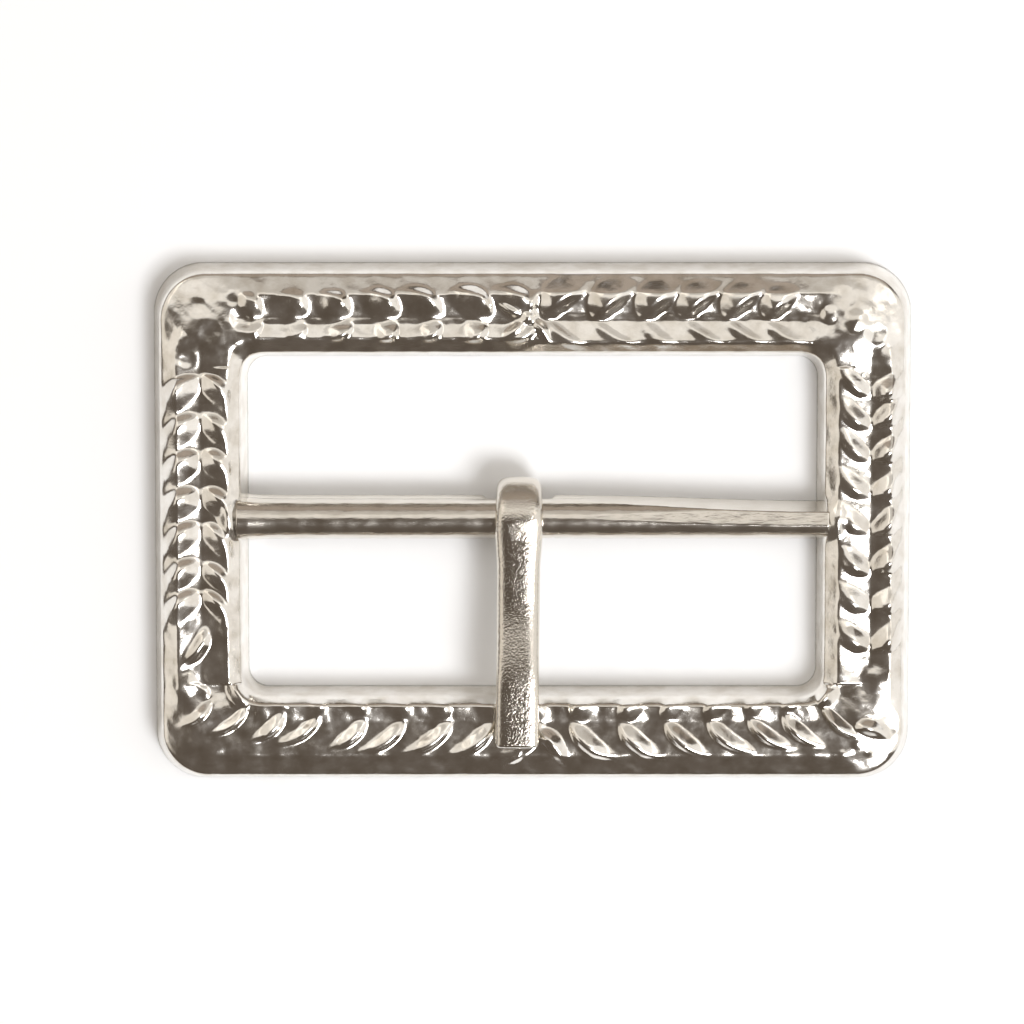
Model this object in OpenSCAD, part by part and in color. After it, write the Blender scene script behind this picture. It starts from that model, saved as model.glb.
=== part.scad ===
// Belt buckle: a cast frame with a double-lobed border, a round centre bar held in
// two bosses, and a tongue wrapped round the bar that rests on the bottom rail.
// It lies on its back: +Z is the front, X runs along the bar, Y is up across the bar.

/* [Frame] */
// Width of the opening between the side rails, which is the strap's width
strap_width = 40; // [30:0.5:50]
// Height of the opening between the top and bottom rails
opening_height = 23.4; // [20:0.1:30]
// Width of each of the four rails
rail_width = 6.65; // [5.6:0.05:8]
// Height of the frame's highest ridge above its flat back
frame_thickness = 4.1; // [4.1:0.1:5.2]
// Height of the plain outer wall
wall_height = 2.6; // [1.8:0.1:2.9]
// Draft of the plain walls, in degrees from upright
wall_draft = 12; // [5:1:16]
// Radius of the frame's outer corners
outer_corner_radius = 3.5; // [1:0.1:5]

/* [Centre bar] */
// Diameter of the bar
bar_diameter = 2.8; // [2:0.1:3.2]
// Height of the bar's axis above the flat back
bar_axis_height = 2.3; // [2.2:0.05:2.5]
// Distance of the bar's axis from the middle of the frame, towards the top rail
bar_offset = 0.45; // [0:0.05:1]
// Depth of each blind seat that holds an end of the bar
seat_depth = 1.8; // [1:0.1:2.5]
// Wall of the boss round each seat
boss_wall = 0.35; // [0.3:0.05:0.6]
// Length of boss that stands out of each side rail into the opening
boss_stand_out = 0.2; // [0:0.05:0.6]

/* [Tongue] */
// Width of the tongue over the bottom rail
tongue_width = 3.05; // [2.4:0.05:4]
// Extra width of the tongue where it turns round the bar
eye_bulge = 0.4; // [0:0.05:0.8]
// Thickness of the tongue's shaft
tongue_thickness = 1.4; // [1.1:0.05:1.6]
// Wall of the eye above the bar
eye_wall = 1.3; // [1.1:0.05:1.4]
// Extra wall of the eye on the side away from the tip
eye_back_wall = 0.3; // [0:0.05:0.5]
// Radial clearance between the eye and the bar
eye_clearance = 0.05; // [0.02:0.01:0.09]
// Open seam where the wrapped end meets the underside of the shaft
seam_gap = 0.25; // [0.15:0.05:0.4]
// Length of tongue that lies over the bottom rail
tip_overlap = 3.75; // [3:0.05:6]
// Position of the tongue along the bar, from the middle
tongue_position = -0.95; // [-10:0.05:10]
// Gap between the tongue and the ridge of the bottom rail at rest
rest_gap = 0.1; // [0.05:0.05:0.3]
// Length of the bend up over the rail, along the tongue
bend_length = 6.2; // [4:0.1:7]
// Distance between the end of the bend and the bottom rail
bend_gap = 0.5; // [0:0.05:1]
// Radius of the tongue's corners, seen from the front
tongue_corner_radius = 0.7; // [0.2:0.05:1]

/* [Hidden] */
$fn = 64;
metal = [0.76, 0.73, 0.68];
dark_metal = [0.66, 0.63, 0.58];

frame_length = strap_width + 2 * rail_width;
frame_height = opening_height + 2 * rail_width;

// Stations across a rail, from its outer edge at 0 to its inner edge at rail_width
wall_run = wall_height * tan(wall_draft);
outer_shoulder = [wall_run, wall_height];
outer_lobe_foot = [0.24 * rail_width, 0.79 * frame_thickness];
valley = [0.6 * rail_width, 0.84 * frame_thickness];
inner_lobe_foot = [0.84 * rail_width, 0.72 * frame_thickness];
inner_shoulder = [rail_width - wall_run / 2, 0.5 * frame_thickness];
inner_lobe_rise = 0.4;
// The middle of the outer lobe reaches the frame's ridge
outer_lobe_rise = frame_thickness - (outer_lobe_foot[1] + valley[1]) / 2;
lobe_steps = 8;

bar_radius = bar_diameter / 2;
boss_radius = bar_radius + boss_wall;
bore_radius = bar_radius + eye_clearance;
eye_radius = bore_radius + eye_wall;
// The eye's underside is filed flat, just clear of whatever the buckle lies on
eye_base = 0.05;

// Heights of the tongue are measured from the bar's axis
shaft_top = eye_radius;
shaft_base = shaft_top - tongue_thickness;
tip_base = frame_thickness + rest_gap - bar_axis_height;
rail_distance = bar_offset + opening_height / 2;
tongue_reach = rail_distance + tip_overlap;
bend_distance = rail_distance - bend_gap - bend_length / 2;
bend_rise = tip_base - shaft_base;
bend_angle = 2 * atan(bend_rise / bend_length);
bend_radius = bend_length / (2 * sin(bend_angle));
bend_steps = 8;
waist_width = tongue_width - 0.2;

function arc(centre, radius, from, to, steps) =
    [for (i = [0:steps]) let (a = from + (to - from) * i / steps) centre + radius * [cos(a), sin(a)]];

// A point on the S-shaped bend as [distance from the bar, height], i from 0 at the bar's end to 1
function bend_point(i) =
    let (near = i < 0.5, a = bend_angle * (near ? 2 * i : 2 - 2 * i))
    near
        ? [bend_distance - bend_length / 2 + bend_radius * sin(a), bend_radius * (1 - cos(a))]
        : [bend_distance + bend_length / 2 - bend_radius * sin(a), bend_rise - bend_radius * (1 - cos(a))];

module place_on_axis() {
    translate([0, bar_offset, bar_axis_height]) children();
}

// Turns a profile drawn as [distance, height] into a solid along X, with distance towards -Y
module extrude_along_x(length) {
    rotate([90, 0, -90]) linear_extrude(length, center = true) children();
}

// Points of the arc that bulges by rise above the chord from a to b, both ends included
function lobe(a, b, rise) =
    let (
        chord = norm(b - a),
        along = (b - a) / chord,
        up = [-along[1], along[0]],
        radius = (chord * chord / 4 + rise * rise) / (2 * rise),
        half_angle = asin(chord / (2 * radius))
    )
    [for (i = [0:lobe_steps])
        let (angle = half_angle * (2 * i / lobe_steps - 1))
        a + along * (chord / 2 + radius * sin(angle)) + up * (rise - radius * (1 - cos(angle)))];

module rail_profile() {
    polygon(concat(
        [[0, 0], outer_shoulder],
        lobe(outer_lobe_foot, valley, outer_lobe_rise),
        lobe(valley, inner_lobe_foot, inner_lobe_rise),
        [inner_shoulder, [rail_width, 0]]
    ));
}

// One rail along X, its outer edge at reach from the middle, mitred at both ends
module rail(length, reach) {
    intersection() {
        translate([0, reach, 0]) extrude_along_x(length) rail_profile();
        linear_extrude(frame_thickness + 1)
            polygon([
                [-length / 2, reach],
                [length / 2, reach],
                [length / 2 - rail_width, reach - rail_width],
                [-length / 2 + rail_width, reach - rail_width],
            ]);
    }
}

module corner_outline() {
    for (x = [-1, 1], y = [-1, 1])
        translate([x * (frame_length / 2 - outer_corner_radius), y * (frame_height / 2 - outer_corner_radius)])
            circle(outer_corner_radius);
    square([frame_length, frame_height - 2 * outer_corner_radius], center = true);
    square([frame_length - 2 * outer_corner_radius, frame_height], center = true);
}

module frame() {
    color(metal)
        difference() {
            union() {
                intersection() {
                    union() {
                        for (turn = [0, 180])
                            rotate(turn) rail(frame_length, frame_height / 2);
                        for (turn = [90, 270])
                            rotate(turn) rail(frame_height, frame_length / 2);
                    }
                    linear_extrude(frame_thickness + 1) corner_outline();
                }
                for (side = [-1, 1])
                    place_on_axis()
                        translate([side * (strap_width / 2 - boss_stand_out), 0, 0])
                            rotate([0, side * 90, 0]) cylinder(h = seat_depth + 0.6, r = boss_radius);
            }
            place_on_axis()
                rotate([0, 90, 0]) cylinder(h = strap_width + 2 * seat_depth, r = bar_radius, center = true);
        }
}

module centre_bar() {
    color(dark_metal)
        place_on_axis()
            rotate([0, 90, 0]) cylinder(h = strap_width + 2 * seat_depth, r = bar_radius, center = true);
}

// The tongue from the side, as [distance from the axis towards the tip, height over the axis]
module tongue_side() {
    base_line = [for (i = [0:2 * bend_steps]) bend_point(i / (2 * bend_steps)) + [0, shaft_base]];
    top_line = [for (i = [2 * bend_steps:-1:0]) bend_point(i / (2 * bend_steps)) + [0, shaft_top]];
    difference() {
        union() {
            polygon(concat(
                [[0, shaft_base]],
                base_line,
                [[tongue_reach, tip_base], [tongue_reach, tip_base + tongue_thickness]],
                top_line,
                [[0, shaft_top]]
            ));
            intersection() {
                union() {
                    circle(eye_radius);
                    translate([-eye_back_wall, 0]) circle(eye_radius);
                    translate([-eye_back_wall, 0]) square([eye_back_wall, eye_radius]);
                }
                translate([-2 * eye_radius, eye_base - bar_axis_height]) square(4 * eye_radius);
            }
        }
        circle(bore_radius);
        translate([0, shaft_base - seam_gap]) square([2 * eye_radius, seam_gap]);
    }
}

// The tongue from the front: wide at the eye, waisted along the shaft, parallel at the tip
module tongue_outline() {
    back = -(eye_radius + eye_back_wall);
    r = tongue_corner_radius;
    half = tongue_width / 2;
    right_side = concat(
        arc([half - r, back + r], r, -90, 0, 6),
        [[half + eye_bulge / 2, 0], [waist_width / 2, bend_distance - 1], [half, bend_distance + 3]],
        arc([half - r / 2, tongue_reach - r / 2], r / 2, 0, 90, 6)
    );
    left_side = [for (i = [len(right_side) - 1:-1:0]) [-right_side[i][0], right_side[i][1]]];
    mirror([0, 1]) polygon(concat(right_side, left_side));
}

module tongue() {
    color(metal)
        translate([tongue_position, 0, 0])
            place_on_axis()
                intersection() {
                    extrude_along_x(2 * tongue_width) tongue_side();
                    translate([0, 0, -bar_axis_height]) linear_extrude(4 * frame_thickness) tongue_outline();
                }
}

frame();
centre_bar();
tongue();
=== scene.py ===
"""Belt buckle: the looks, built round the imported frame.

Lengths in the tables and functions below are in millimetres, as on a drawing, and become metres
when a mesh is made. The buckle lies on its back: +Z is its front, X runs along the bar, and the
tongue rests on the bottom rail, towards -Y.
"""

import math
import random

import bpy
import numpy as np
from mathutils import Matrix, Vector


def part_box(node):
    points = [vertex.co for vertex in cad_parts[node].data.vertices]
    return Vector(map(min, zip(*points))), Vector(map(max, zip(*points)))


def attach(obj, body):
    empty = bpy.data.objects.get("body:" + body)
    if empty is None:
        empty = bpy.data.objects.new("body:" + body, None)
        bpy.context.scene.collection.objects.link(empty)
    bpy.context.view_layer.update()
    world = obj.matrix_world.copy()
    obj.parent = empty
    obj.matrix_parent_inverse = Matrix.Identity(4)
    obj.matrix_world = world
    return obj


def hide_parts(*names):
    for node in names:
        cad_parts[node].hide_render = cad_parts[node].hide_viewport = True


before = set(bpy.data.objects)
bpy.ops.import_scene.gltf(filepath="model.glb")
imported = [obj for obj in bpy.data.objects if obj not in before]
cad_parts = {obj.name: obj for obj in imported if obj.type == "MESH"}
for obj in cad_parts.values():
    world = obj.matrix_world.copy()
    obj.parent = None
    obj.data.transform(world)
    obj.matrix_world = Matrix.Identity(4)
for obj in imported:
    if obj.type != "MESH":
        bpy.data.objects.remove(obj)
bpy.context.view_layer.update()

MM = 0.001
SEED = 7

# ---------------------------------------------------------------- sizes taken from the frame

_, frame_high = (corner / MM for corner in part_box("frame"))
bar_low, bar_high = (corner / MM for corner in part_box("centre_bar"))
tongue_low, tongue_high = (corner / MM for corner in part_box("tongue"))

# The opening between the side rails
STRAP = 40.0
HALF_X, HALF_Y = frame_high.x, frame_high.y
RAIL = HALF_X - STRAP / 2
OPEN_X, OPEN_Y = HALF_X - RAIL, HALF_Y - RAIL
THICK = frame_high.z
OUTER_RADIUS = 3.5
INNER_RADIUS = 1.4

# The edges where the rails' walls meet their front, as distance from the outer edge and height
SHOULDER, WALL_TOP = 0.55, 2.6
INNER_SHOULDER, INNER_TOP = RAIL - 0.5, 2.72
RIDGE_TOP = 3.38

BAR_Y = (bar_low.y + bar_high.y) / 2
BAR_Z = (bar_low.z + bar_high.z) / 2
BAR_RADIUS = (bar_high.z - bar_low.z) / 2
BORE_RADIUS = BAR_RADIUS + 0.05

TONGUE_X = (tongue_low.x + tongue_high.x) / 2
TONGUE_REACH = BAR_Y - tongue_low.y
TONGUE_TOP = tongue_high.z - BAR_Z
TONGUE_THICK = 1.4
BEND_LENGTH = 6.2
# From the end of the bend to the tongue's tip
TIP_LENGTH = 4.25
# How far the strip wraps round the bar, in degrees
WRAP = 316


# ---------------------------------------------------------------- small helpers


def smooth(low, high, x):
    """0 below low, 1 above high, and an S curve between them."""
    t = np.clip((np.asarray(x, float) - low) / (high - low), 0, 1)
    return t * t * (3 - 2 * t)


def resample(points, count):
    """count points at even spacing along an open polyline, both ends kept."""
    points = np.asarray(points, float)
    steps = np.linalg.norm(np.diff(points, axis=0), axis=1)
    along = np.concatenate([[0], np.cumsum(steps)])
    at = np.linspace(0, along[-1], count)
    return np.stack([np.interp(at, along, points[:, k]) for k in range(points.shape[1])], axis=1)


def arc(centre, radius, start, end, count):
    """count points on an arc, its angles in degrees from +X."""
    angles = np.radians(np.linspace(start, end, count))
    return np.stack([centre[0] + radius * np.cos(angles), centre[1] + radius * np.sin(angles)], axis=1)


def grid_mesh(name, points, wrap_rows, wrap_columns, caps=False):
    """A smooth-shaded quad mesh through points[row, column] in millimetres."""
    rows, columns = points.shape[:2]
    index = np.arange(rows * columns).reshape(rows, columns)
    below = np.roll(index, -1, axis=0) if wrap_rows else index[1:]
    index_rows = index if wrap_rows else index[:-1]
    right, below_right = np.roll(index_rows, -1, axis=1), np.roll(below, -1, axis=1)
    quads = np.stack([index_rows, right, below_right, below], axis=-1)
    if not wrap_columns:
        quads = quads[:, :-1]
    faces = [tuple(q) for q in quads.reshape(-1, 4).tolist()]
    if caps:
        faces.append(tuple(index[0, ::-1].tolist()))
        faces.append(tuple(index[-1].tolist()))
    mesh = bpy.data.meshes.new(name)
    mesh.from_pydata((points.reshape(-1, 3) * MM).tolist(), [], faces)
    mesh.validate()
    mesh.shade_smooth()
    piece = bpy.data.objects.new(name, mesh)
    bpy.context.scene.collection.objects.link(piece)
    return piece


# ---------------------------------------------------------------- the frame's outline and profile


def quarter_outline(spacing):
    """Outer and inner edge points from the right rail's middle to the top rail's middle."""
    start_x, start_y = OPEN_X - INNER_RADIUS, OPEN_Y - INNER_RADIUS
    side = np.array([[HALF_X, 0], [HALF_X, start_y]])
    side_in = np.array([[OPEN_X, 0], [OPEN_X, start_y]])
    top = np.array([[start_x, HALF_Y], [0, HALF_Y]])
    top_in = np.array([[start_x, OPEN_Y], [0, OPEN_Y]])
    corner = np.concatenate([
        [[HALF_X, start_y]],
        arc((HALF_X - OUTER_RADIUS, HALF_Y - OUTER_RADIUS), OUTER_RADIUS, 0, 90, 40),
        [[start_x, HALF_Y]],
    ])
    corner_run = 2 * (RAIL + INNER_RADIUS - OUTER_RADIUS) + math.pi / 2 * OUTER_RADIUS
    corner_count = int(corner_run / spacing)
    side_count, top_count = int(start_y / spacing), int(start_x / spacing)
    corner_in = arc((start_x, start_y), INNER_RADIUS, 0, 90, corner_count)
    outer = np.concatenate([
        resample(side, side_count)[:-1],
        resample(corner, corner_count)[:-1],
        resample(top, top_count),
    ])
    inner = np.concatenate([
        resample(side_in, side_count)[:-1],
        corner_in[:-1],
        resample(top_in, top_count),
    ])
    return outer, inner


def ring_outline(spacing):
    """Outer and inner edge points all the way round, anticlockwise from the right rail's middle."""
    rings = []
    for edge in quarter_outline(spacing):
        mirrored = edge[::-1] * (-1, 1)
        upper = np.concatenate([edge, mirrored[1:]])
        rings.append(np.concatenate([upper[:-1], -upper[:-1]]))
    return rings


WALL_ROWS, FRONT_ROWS, BACK_ROWS = 8, 49, 6
# The walls stop this high over the back, where a small bevel begins
WALL_FOOT = 0.1
BACK_INSET = 0.12


def rail_rows():
    """Rows round a rail's section, as (distance from the outer edge, height).

    The height is None on the front, where it varies along the rail.
    """
    outer_distance = np.linspace(0.02, SHOULDER, WALL_ROWS)
    inner_distance = np.linspace(INNER_SHOULDER, RAIL - 0.03, WALL_ROWS)
    outer_wall = list(zip(outer_distance, np.linspace(WALL_FOOT, WALL_TOP, WALL_ROWS)))
    front = [(distance, None) for distance in np.linspace(SHOULDER, INNER_SHOULDER, FRONT_ROWS)[1:-1]]
    inner_wall = list(zip(inner_distance, np.linspace(INNER_TOP, WALL_FOOT, WALL_ROWS)))
    back = [(distance, 0.0) for distance in np.linspace(RAIL - BACK_INSET, BACK_INSET, BACK_ROWS)]
    return outer_wall + front + inner_wall + back


# ---------------------------------------------------------------- the front of the rails


class Rail:
    """One side of the frame: which way is out, and where its two ridges and its stem run.

    Distances are from the rail's outer edge. The ridges fade out between the two stations of ends,
    measured along the rail from its middle. With half -1 or 1 it is only the rail's left or right half.
    hollow is the stem's depth under the outer ridge, and rib the height of a thin rib along the stem.
    """

    def __init__(self, outward, edge, outer_ridge, stem, inner_ridge, ends, hollow=0.28, rib=0.0, half=0):
        self.outward = np.array(outward)
        self.edge = edge
        self.outer_ridge, self.stem, self.inner_ridge = outer_ridge, stem, inner_ridge
        self.ends = ends
        self.hollow = hollow
        self.rib = rib
        self.half = half

    def share(self, x, y):
        """1 on this rail, 0 on the others and in the corners."""
        out = x * self.outward[0] + y * self.outward[1]
        along = np.abs(x * self.outward[1] + y * self.outward[0])
        side = smooth(-1, 1, x * self.half) if self.half else 1.0
        return (1 - smooth(*self.ends, along)) * (out > self.edge - RAIL - 0.5) * side

    def height(self, distance):
        stations = [SHOULDER, SHOULDER + 0.14, self.outer_ridge, self.stem, self.inner_ridge, INNER_SHOULDER]
        heights = [WALL_TOP, WALL_TOP + 0.16, RIDGE_TOP, RIDGE_TOP - self.hollow, RIDGE_TOP + 0.06, INNER_TOP]
        rib = self.rib * np.exp(-(((distance - self.stem) / 0.16) ** 2))
        return np.interp(distance, stations, heights) + rib


RAILS = {
    "top_left": Rail((0, 1), HALF_Y, 2.0, 3.85, 5.15, (19, 23), rib=0.08, half=-1),
    "top_right": Rail((0, 1), HALF_Y, 1.9, 3.6, 5.4, (19, 23), hollow=0.34, rib=0.08, half=1),
    "bottom": Rail((0, -1), HALF_Y, 2.1, 4.55, 5.7, (21, 25), hollow=0.12),
    "left": Rail((-1, 0), HALF_X, 1.7, 3.4, 5.3, (11.0, 14)),
    "right": Rail((1, 0), HALF_X, 1.5, 2.9, 5.2, (10.5, 13.5)),
}

# The plain front that the corners keep: [distance from the outer edge, height]
CORNER_FRONT = np.array([
    (SHOULDER, WALL_TOP), (SHOULDER + 0.14, WALL_TOP + 0.16), (2.4, 3.28), (4.9, 3.72), (5.1, 3.7),
    (INNER_SHOULDER, INNER_TOP),
])


class Spray:
    """Leaves in two rows either side of a rail's stem, growing that way from start.

    Each pair gives the outer row's value and the inner row's: the angle to the stem, how far from the
    rail's outer edge the tips lie, the half width as a share of the pitch, and the height.
    """

    def __init__(self, rail, growth, start, pitches, angles, tips, widths, crest=0.4, fade=0, bend=0.0,
                 shrink=0.0, heights=(0.54, 0.4)):
        self.rail = RAILS[rail]
        self.growth = np.array(growth)
        self.start = start
        self.pitches = pitches
        self.fade = fade
        self.crest = crest
        # How the spray's end drifts away from the outer edge, and how much shorter each leaf is than the last
        self.bend, self.shrink = bend, shrink
        self.angle = {1: angles[0], -1: angles[1]}
        self.width = {1: widths[0], -1: widths[1]}
        self.height = {1: heights[0], -1: heights[1]}
        # How far the outer and the inner leaves reach from the stem
        self.reach = {1: self.rail.stem - tips[0], -1: tips[1] - self.rail.stem}

    def leaves(self, chance):
        outward = self.rail.outward
        origin = outward * (self.rail.edge - self.rail.stem)
        at = self.start
        for i, pitch in enumerate(self.pitches):
            drift = -outward * self.bend * max(0, i - 1) ** 2
            size = 1 - self.shrink * i
            for side in (1, -1):
                angle = math.radians(self.angle[side] + chance.uniform(-5, 5))
                direction = self.growth * math.cos(angle) + outward * side * math.sin(angle)
                steep_side = -self.growth * math.sin(angle) + outward * side * math.cos(angle)
                height = self.height[side] * chance.uniform(0.8, 1.12)
                if i >= len(self.pitches) - self.fade:
                    height *= 0.55
                place = at + chance.uniform(-0.2, 0.2)
                yield {
                    "root": origin + drift + self.growth * place + outward * 0.05 * side,
                    "direction": direction,
                    "steep_side": steep_side,
                    "length": self.reach[side] * size * chance.uniform(0.95, 1.05) / math.sin(angle),
                    "half_width": self.width[side] * pitch * math.sin(angle) * chance.uniform(0.93, 1.07),
                    "crest": self.crest + chance.uniform(-0.08, 0.08),
                    "height": height,
                }
            at += pitch


def pitches(first, last, count):
    """Distances from each of count leaves to the next along the stem."""
    return list(np.linspace(first, last, count))


SPRAYS = [
    Spray("top_left", (-1, 0), -0.3, pitches(3.35, 3.0, 7), (36, 29), (1.6, 5.1), (0.6, 0.5),
          crest=0.5, fade=2, shrink=0.05),
    Spray("top_right", (1, 0), 0.4, pitches(3.4, 2.8, 6), (40, 32), (1.0, 6.0), (0.62, 0.3),
          crest=-0.25, shrink=0.04, heights=(0.62, 0.16)),
    Spray("bottom", (-1, 0), -0.9, pitches(3.35, 2.4, 9), (38, 38), (2.0, 6.0), (0.29, 0.36),
          crest=0.4, bend=0.03, shrink=0.03, heights=(0.42, 0.2)),
    Spray("bottom", (1, 0), 2.7, pitches(3.3, 2.4, 7), (38, 38), (1.8, 6.0), (0.36, 0.42),
          crest=0.35, bend=0.04, shrink=0.03, heights=(0.5, 0.34)),
    Spray("left", (0, -1), -10.65, pitches(2.8, 2.25, 7), (46, 40), (0.65, 5.25), (0.58, 0.5), crest=0.3),
    Spray("right", (0, 1), -8.9, pitches(2.8, 2.3, 8), (46, 44), (0.75, 5.1), (0.45, 0.42), crest=0.1),
]


def lone_leaf(root, tip, half_width, height, crest=0.0, turn=1):
    """A leaf from root to tip, its steep flank on the left looking along it when turn is 1."""
    run = np.subtract(tip, root)
    length = float(np.hypot(*run))
    direction = run / length
    return {
        "root": np.array(root),
        "direction": direction,
        "steep_side": turn * np.array([-direction[1], direction[0]]),
        "length": length,
        "half_width": half_width,
        "crest": crest,
        "height": height,
    }


# The knot that the top rail's two sprays grow from, and the odd leaves about the tongue's tip
KNOT = (-0.3, HALF_Y - 3.6)
LONE_LEAVES = [
    lone_leaf(KNOT, (KNOT[0] - 2.3, KNOT[1] + 1.3), 0.5, 0.5),
    lone_leaf(KNOT, (KNOT[0] - 1.9, KNOT[1] - 1.5), 0.5, 0.5),
    lone_leaf(KNOT, (KNOT[0] + 1.6, KNOT[1] - 1.8), 0.45, 0.5),
    lone_leaf(KNOT, (KNOT[0] + 0.7, KNOT[1] + 1.9), 0.5, 0.5),
    lone_leaf((0.1, 4.1 - HALF_Y), (2.5, 1.3 - HALF_Y), 0.7, 0.55),
    lone_leaf((3.9 - HALF_X, -7.2), (2.0 - HALF_X, -10.0), 0.6, 0.5),
    lone_leaf((22.6, 4.2 - HALF_Y), (25.2, 3.4 - HALF_Y), 0.6, 0.45),
    lone_leaf((-0.5, 2.6 - HALF_Y), (-2.0, 1.4 - HALF_Y), 0.35, 0.3),
]


def leaf_height(x, y, leaf):
    """Height of one leaf over the rail, at each x and y: a pointed blade with a rounded crest."""
    dx, dy = x - leaf["root"][0], y - leaf["root"][1]
    along = (dx * leaf["direction"][0] + dy * leaf["direction"][1]) / leaf["length"]
    across = dx * leaf["steep_side"][0] + dy * leaf["steep_side"][1]
    inside = np.clip(along, 0, 1)
    # The blade bows out and then curls back towards the rail's line at its tip
    across = across + leaf["length"] * 0.42 * (inside - 0.5) ** 2 - 0.07 * leaf["length"]
    blade = np.clip(4 * inside ** 0.85 * (1 - inside ** 0.85), 0, 1) ** 0.6
    across = across / (leaf["half_width"] * blade + 1e-6)
    crest = leaf["crest"]
    rise = np.where(across > crest, (1 - across) / (1 - crest), (1 + across) / (1 + crest))
    body = 1 - (1 - np.clip(rise, 0, 1)) ** 1.4
    swell = smooth(-0.05, 0.35, inside) * (1 - 0.88 * smooth(0.42, 1.0, inside))
    return np.where((along > 0) & (along < 1), leaf["height"] * swell * body, 0)


def stamp(height, x, y, leaf):
    """Raises height, in place, to the leaf's wherever the leaf is higher."""
    reach = leaf["length"] + 1
    near = (np.abs(x - leaf["root"][0]) < reach) & (np.abs(y - leaf["root"][1]) < reach)
    height[near] = np.maximum(height[near], leaf_height(x[near], y[near], leaf))


def relief(x, y):
    """Height of all the leaves over the rails."""
    chance = random.Random(SEED)
    height = np.zeros_like(x)
    for spray in SPRAYS:
        for leaf in spray.leaves(chance):
            stamp(height, x, y, leaf)
    for leaf in LONE_LEAVES:
        stamp(height, x, y, leaf)
    return np.maximum(height, bump(x, y, KNOT, 0.8, 0.8, 0.6))


def bump(x, y, centre, radius_x, radius_y, height):
    """A rounded lump or, with a negative height, a dent."""
    far = ((x - centre[0]) / radius_x) ** 2 + ((y - centre[1]) / radius_y) ** 2
    return height * np.clip(1 - far, 0, 1) ** 1.5


def waves(x, y, chance, lengths, height):
    """Shallow irregular unevenness: plane waves of assorted directions and lengths."""
    total = np.zeros_like(x)
    for length in lengths:
        turn, phase = chance.uniform(0, math.pi), chance.uniform(0, 2 * math.pi)
        total += np.sin((x * math.cos(turn) + y * math.sin(turn)) * 2 * math.pi / length + phase)
    return total * height / math.sqrt(len(lengths))


def spread(values, passes):
    """values averaged with their neighbours along both directions of the grid."""
    for _ in range(passes):
        around = sum(np.roll(values, step, axis) for step in (1, -1) for axis in (0, 1))
        values = 0.5 * values + 0.125 * around
    return values


# Dents and, with negative depths, lumps in the plain corners: x, y, radius and depth
DENTS = [
    (-23.4, 15.4, 0.8, 0.12), (-20.7, 16.0, 0.7, 0.14), (-20.4, 14.7, 0.9, 0.16),
    (-18.3, 16.4, 0.8, 0.09), (-22.6, 13.7, 0.9, 0.14), (-24.6, 13.2, 0.6, -0.1),
    (-24.2, 11.8, 0.7, 0.1), (20.7, 14.9, 0.7, -0.16), (22.6, 14.6, 0.9, -0.2),
    (24.0, 13.6, 0.8, 0.14), (21.6, 16.2, 0.9, 0.08), (24.9, 12.0, 0.8, -0.14),
    (-24.4, -11.2, 1.0, -0.12), (-21.5, -16.6, 1.0, 0.08), (24.2, -10.8, 1.1, -0.14),
    (25.0, -14.2, 0.9, 0.12), (22.9, -15.4, 0.5, -0.07), (21.9, -16.2, 0.4, -0.06),
    (23.6, -16.0, 0.4, -0.06), (20.8, -16.6, 0.4, -0.05),
]


# Spacing of the columns of the frame's mesh round its outline
COLUMN_SPACING = 0.125


def build_frame():
    outer, inner = ring_outline(COLUMN_SPACING)
    rows = rail_rows()
    distance = np.array([row[0] for row in rows])[None, :]
    on_front = np.array([row[1] is None for row in rows])[None, :]
    wall_height = np.array([row[1] or 0.0 for row in rows])[None, :]
    share = distance / RAIL
    x = outer[:, 0][:, None] + (inner - outer)[:, 0][:, None] * share
    y = outer[:, 1][:, None] + (inner - outer)[:, 1][:, None] * share
    distance = np.broadcast_to(distance, x.shape)

    corner_front = np.interp(distance, CORNER_FRONT[:, 0], CORNER_FRONT[:, 1])
    front = corner_front.copy()
    for rail in RAILS.values():
        front += (rail.height(distance) - corner_front) * rail.share(x, y)
    # The leaves and the unevenness fade out at the shoulders
    inset = smooth(SHOULDER, SHOULDER + 0.45, distance)
    inset = inset * (1 - smooth(INNER_SHOULDER - 0.35, INNER_SHOULDER, distance))
    chance = random.Random(SEED + 1)
    front = front + relief(x, y) * inset
    front = front + waves(x, y, chance, [chance.uniform(1.2, 3.2) for _ in range(14)], 0.02) * inset
    front = front + waves(x, y, chance, [chance.uniform(0.5, 1.0) for _ in range(20)], 0.006) * inset
    for dent_x, dent_y, radius, depth in DENTS:
        front = front - bump(x, y, (dent_x, dent_y), radius, radius, depth)
    for side in (-1, 1):
        front = front + bump(x, y, (side * (OPEN_X + 0.6), BAR_Y), 1.5, 1.7, 0.55)
    front = spread(front, 2)
    z = np.where(on_front, np.minimum(front, THICK), wall_height)
    piece = grid_mesh("frame_casting", np.stack([x, y, z], axis=-1), True, True)
    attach(piece, "buckle_frame")
    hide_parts("frame")
    return piece


# ---------------------------------------------------------------- the bar


# How much the bar thins towards the right rail, on its north flank and its front
FLANK_TAPER, FRONT_TAPER = 0.55, 0.13
# Distances from the bar's axis to its south flank and to its flat back
SOUTH_FLANK, BACK_FLAT = 1.33, 1.3


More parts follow.
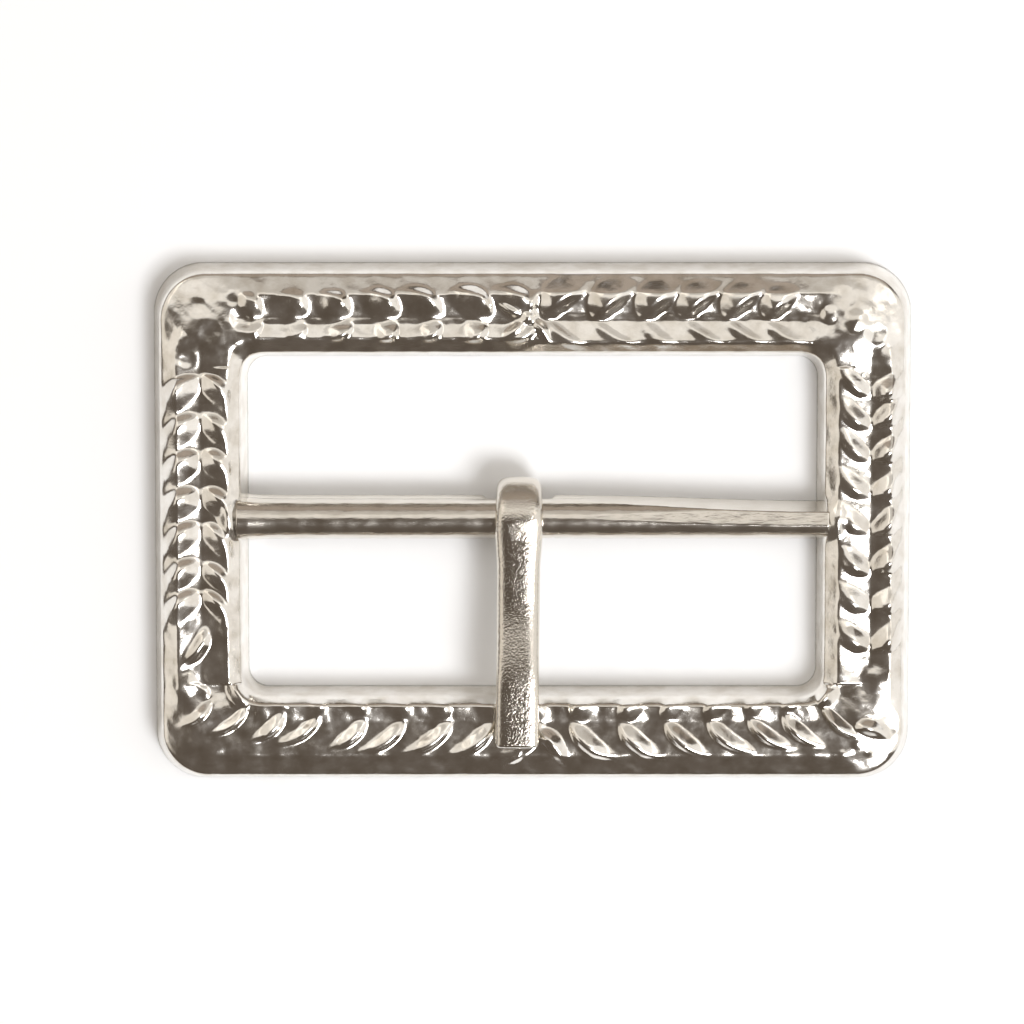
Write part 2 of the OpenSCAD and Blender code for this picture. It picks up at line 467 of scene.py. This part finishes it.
def bar_section(angles, north_flank, front_flat):
    """Distance from the axis at each angle from +Y.

    The section has a round front between drafted flanks, a flat along the front, and a flat back.
    """

    def plane(facing, distance):
        lean = np.cos(angles - math.radians(facing))
        return np.where(lean > 0.05, distance / np.maximum(lean, 0.05), 9)

    limit = np.where(np.sin(angles) > -0.1, BAR_RADIUS - 0.02, 1.75)
    flanks = [plane(12, north_flank), plane(168, SOUTH_FLANK)]
    flats = [plane(80, front_flat), plane(-90, BACK_FLAT)]
    return np.minimum.reduce([*flanks, *flats, limit])


def build_bar():
    count_x, count_round = 360, 96
    reach = STRAP / 2 + 0.8
    angles = np.linspace(0, 2 * math.pi, count_round, endpoint=False)
    points = np.zeros((count_x, count_round, 3))
    chance = random.Random(SEED)
    # Shallow unevenness: wave length, depth, waves round the section, phase
    ripples = [
        (
            chance.uniform(1.2, 7.0),
            chance.uniform(0.0008, 0.0022),
            chance.randint(1, 9),
            chance.uniform(0, 6.28),
        )
        for _ in range(12)
    ]
    for i, x in enumerate(np.linspace(-reach, reach, count_x)):
        taper = float(smooth(1.5, 20, x))
        full = BAR_RADIUS - 0.02
        radius = bar_section(angles, full - FLANK_TAPER * taper, full - FRONT_TAPER * taper)
        # Round where the tongue turns on it
        seat = 1 - float(smooth(2.1, 2.6, abs(x - TONGUE_X)))
        radius = radius * (1 - seat) + (BAR_RADIUS - 0.01) * seat
        # A fillet into the left rail
        radius = radius + 0.12 * math.exp(-max(0, x + OPEN_X) / 1.2)
        for wave_length, depth, turns, phase in ripples:
            ripple = np.sin(x * 2 * math.pi / wave_length + angles * turns + phase)
            radius = radius + depth * ripple * (1 - seat)
        points[i, :, 0] = x
        points[i, :, 1] = BAR_Y + radius * np.cos(angles)
        points[i, :, 2] = BAR_Z + radius * np.sin(angles)
    piece = grid_mesh("bar_casting", points, False, True, caps=True)
    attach(piece, "buckle_frame")
    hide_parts("centre_bar")
    return piece


# ---------------------------------------------------------------- the tongue


def tongue_path():
    """Points on the tongue's inner face, from the tip round to the seam.

    Each is [distance towards the tip, height over the bar's axis].
    """
    tip_base = TONGUE_TOP - TONGUE_THICK
    shaft_base = BORE_RADIUS - 0.1
    bend_end = TONGUE_REACH - TIP_LENGTH
    bend_start = bend_end - BEND_LENGTH
    along = np.linspace(TONGUE_REACH, 1.2, 170)
    height = shaft_base + (tip_base - shaft_base) * smooth(bend_start, bend_end, along)
    shaft = np.stack([along, height], axis=1)
    wrap = arc((0, 0), BORE_RADIUS, 90, 90 + WRAP, 150)
    return np.concatenate([shaft, wrap])


def softened(values, reach):
    """values averaged over reach neighbours on each side, weighted towards the middle."""
    kernel = np.hanning(2 * reach + 1)
    kernel /= kernel.sum()
    return np.convolve(np.pad(values, reach, mode="edge"), kernel, mode="valid")


# Radius of the tongue's rounded ends, and its side wall as a share of its thickness
TONGUE_LIP, TONGUE_WALL = 0.28, 0.34
# How far the tongue leans to the left, per millimetre towards its tip
LEAN = 0.009


def build_tongue():
    path = resample(tongue_path(), 340)
    tangent = np.gradient(path, axis=0)
    tangent /= np.linalg.norm(tangent, axis=1)[:, None]
    normal = np.stack([tangent[:, 1], -tangent[:, 0]], axis=1)
    run = np.concatenate([[0], np.cumsum(np.linalg.norm(np.diff(path, axis=0), axis=1))])
    bar_at = TONGUE_REACH
    past_top = (run - bar_at) / (BORE_RADIUS * math.radians(WRAP))
    thick = np.interp(past_top, [-9, 0, 0.28, 0.57, 0.85, 1], [TONGUE_THICK, 1.3, 1.58, 0.78, 0.95, 0.8])
    width = np.interp(run, [0, 3, 6.5, bar_at - 3, bar_at - 0.6, bar_at + 1.2, bar_at + 3.2, run[-1]],
                      [1.52, 1.52, 1.5, 1.52, 1.7, 1.62, 1.52, 1.5])
    thick, width = softened(thick, 12), softened(width, 12)
    round_over = np.linspace(0, math.pi, 33)
    rows = []
    for i in range(len(path)):
        end = min(run[i], run[-1] - run[i])
        lip = math.sqrt(max(0.0, 1 - (1 - min(end / TONGUE_LIP, 1)) ** 2))
        half = width[i] - TONGUE_LIP * (1 - lip)
        tall = thick[i] - TONGUE_LIP * (1 - lip)
        foot = 0.16 * (1 - lip)
        # Flat on top at the tip, rounder along the shaft
        power = 0.42 + 0.2 * float(smooth(3.0, 8.0, run[i]))
        crown_x = np.sign(np.cos(round_over)) * np.abs(np.cos(round_over)) ** power
        crown_z = np.sin(round_over) ** power
        across = np.concatenate([half * crown_x, [-half, -half + 0.14, 0, half - 0.14, half]])
        wall = TONGUE_WALL * tall
        up = np.concatenate([wall + (tall - wall) * crown_z, [0.14 + foot, foot, foot, foot, 0.14 + foot]])
        forward = path[i, 0] + normal[i, 0] * up
        height = path[i, 1] + normal[i, 1] * up
        rows.append(np.stack([TONGUE_X + across - LEAN * forward, BAR_Y - forward, BAR_Z + height], axis=1))
    points = np.stack(rows)
    points[:, :, 2] = np.maximum(points[:, :, 2], 0.05)
    piece = grid_mesh("tongue_strip", points, False, True, caps=True)
    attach(piece, "tongue")
    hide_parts("tongue")
    return piece


# ---------------------------------------------------------------- materials


def new_material(name):
    """A material, its nodes and links, and its shader."""
    material = bpy.data.materials.new(name)
    material.use_nodes = True
    nodes, links = material.node_tree.nodes, material.node_tree.links
    return material, nodes, links, nodes["Principled BSDF"]


def noise(nodes, links, scale, detail, stretch=(1, 1, 1)):
    """A noise texture whose scale counts features per millimetre."""
    place = nodes.new("ShaderNodeTexCoord")
    mapping = nodes.new("ShaderNodeMapping")
    mapping.inputs["Scale"].default_value = Vector(stretch) / MM
    texture = nodes.new("ShaderNodeTexNoise")
    texture.inputs["Scale"].default_value = scale
    texture.inputs["Detail"].default_value = detail
    links.new(place.outputs["Object"], mapping.inputs["Vector"])
    links.new(mapping.outputs["Vector"], texture.inputs["Vector"])
    return texture.outputs["Fac"]


def ramp(nodes, links, source, stops):
    """The source's value turned into a grey or a colour, by stops of (position, grey or colour)."""
    node = nodes.new("ShaderNodeValToRGB")
    elements = node.color_ramp.elements
    while len(elements) < len(stops):
        elements.new(0.5)
    for element, (position, value) in zip(elements, stops):
        element.position = position
        element.color = (*value, 1) if isinstance(value, tuple) else (value, value, value, 1)
    links.new(source, node.inputs["Fac"])
    return node.outputs["Color"]


def nickel(name, polish, grain, grain_depth, worn, stretch=(1, 1, 1)):
    """Warm nickel plate: a smooth coat over a slightly uneven casting, duller where it has worn."""
    material, nodes, links, shader = new_material(name)
    shader.inputs["Metallic"].default_value = 1.0
    dull, clean = (0.72, 0.68, 0.615), (0.88, 0.855, 0.81)
    worn_tone = tuple(c * (1 - worn) + d * worn for c, d in zip(clean, dull))
    tone = ramp(nodes, links, noise(nodes, links, 0.8, 6), [(0.32, dull), (0.62, worn_tone)])
    links.new(tone, shader.inputs["Base Color"])
    haze = ramp(nodes, links, noise(nodes, links, 0.9, 5), [(0.35, polish), (0.75, polish + 0.13)])
    links.new(haze, shader.inputs["Roughness"])
    uneven = nodes.new("ShaderNodeBump")
    uneven.inputs["Distance"].default_value = 0.03 * MM
    uneven.inputs["Strength"].default_value = 0.35
    links.new(noise(nodes, links, 1.4, 2, stretch), uneven.inputs["Height"])
    fine = nodes.new("ShaderNodeBump")
    fine.inputs["Distance"].default_value = grain_depth * MM
    fine.inputs["Strength"].default_value = 0.6
    links.new(noise(nodes, links, grain, 3, stretch), fine.inputs["Height"])
    links.new(uneven.outputs["Normal"], fine.inputs["Normal"])
    links.new(fine.outputs["Normal"], shader.inputs["Normal"])
    return material


def paper_floor():
    material, _, _, shader = new_material("paper_sweep")
    shader.inputs["Base Color"].default_value = (0.965, 0.98, 1.0, 1)
    shader.inputs["Roughness"].default_value = 0.9
    shader.inputs["Specular IOR Level"].default_value = 0.1
    return material


# ---------------------------------------------------------------- stage, light and camera


def build_stage():
    size = 3.0
    mesh = bpy.data.meshes.new("sweep")
    corners = [(-size, -size, 0), (size, -size, 0), (size, size, 0), (-size, size, 0)]
    mesh.from_pydata(corners, [], [(0, 1, 2, 3)])
    floor = bpy.data.objects.new("sweep", mesh)
    bpy.context.scene.collection.objects.link(floor)
    floor.data.materials.append(paper_floor())


PANEL_DISTANCE = 0.9


def panel(name, azimuth, elevation, width, height, brightness, colour):
    """A softbox at that azimuth (0 is +X, 90 is +Y) and height over the horizon, facing the buckle.

    At brightness 1 it would show as just white in a perfect mirror.
    """
    light = bpy.data.lights.new(name, "AREA")
    light.shape = "RECTANGLE"
    light.size, light.size_y = width, height
    light.energy = brightness * math.pi * width * height
    light.color = colour
    lamp = bpy.data.objects.new(name, light)
    a, e = math.radians(azimuth), math.radians(elevation)
    place = Vector((math.cos(a) * math.cos(e), math.sin(a) * math.cos(e), math.sin(e))) * PANEL_DISTANCE
    lamp.location = place
    lamp.rotation_euler = (-place).to_track_quat("-Z", "Y").to_euler()
    bpy.context.scene.collection.objects.link(lamp)


def build_light():
    world = bpy.data.worlds.new("dim_room")
    bpy.context.scene.world = world
    world.use_nodes = True
    background = world.node_tree.nodes["Background"]
    background.inputs["Color"].default_value = (0.12, 0.098, 0.08, 1)
    background.inputs["Strength"].default_value = 1.0
    panel("key", -45, 58, 0.34, 0.34, 15, (1.0, 0.995, 1.0))
    panel("north_high", 90, 71, 1.3, 0.34, 0.85, (1.0, 0.97, 0.92))
    panel("north_mid", 90, 49, 1.5, 0.36, 0.52, (1.0, 0.965, 0.91))
    panel("north_low", 90, 22, 1.7, 0.42, 0.3, (1.0, 0.86, 0.73))
    panel("east_panel", -4, 34, 1.02, 1.15, 0.88, (1.0, 0.985, 0.96))
    panel("west_panel", 170, 35, 1.25, 0.6, 0.78, (1.0, 0.95, 0.87))


def build_camera():
    """A long lens almost straight above, leaning towards +Y, with +Y up in the picture."""
    lean = math.radians(7)
    distance, picture_width = 0.45, 72.0 * MM
    aim = Vector((-1.44 * MM, 0.87 * MM, THICK / 2 * MM))
    camera = bpy.data.cameras.new("camera")
    camera.sensor_width = 36
    camera.lens = camera.sensor_width * distance / picture_width
    view = bpy.data.objects.new("camera", camera)
    view.location = aim + distance * Vector((0, math.sin(lean), math.cos(lean)))
    view.rotation_euler = (-lean, 0, 0)
    bpy.context.scene.collection.objects.link(view)
    bpy.context.scene.camera = view
    bpy.context.scene.view_settings.view_transform = "Standard"


build_camera()
build_light()
build_stage()
casting = build_frame()
casting.data.materials.append(nickel("nickel_casting", 0.12, 4, 0.009, 0.0))
bar = build_bar()
bar.data.materials.append(nickel("nickel_bar", 0.13, 5, 0.022, 0.7, stretch=(0.3, 1, 1)))
tongue = build_tongue()
tongue.data.materials.append(nickel("nickel_tongue", 0.09, 7, 0.045, 1.0))
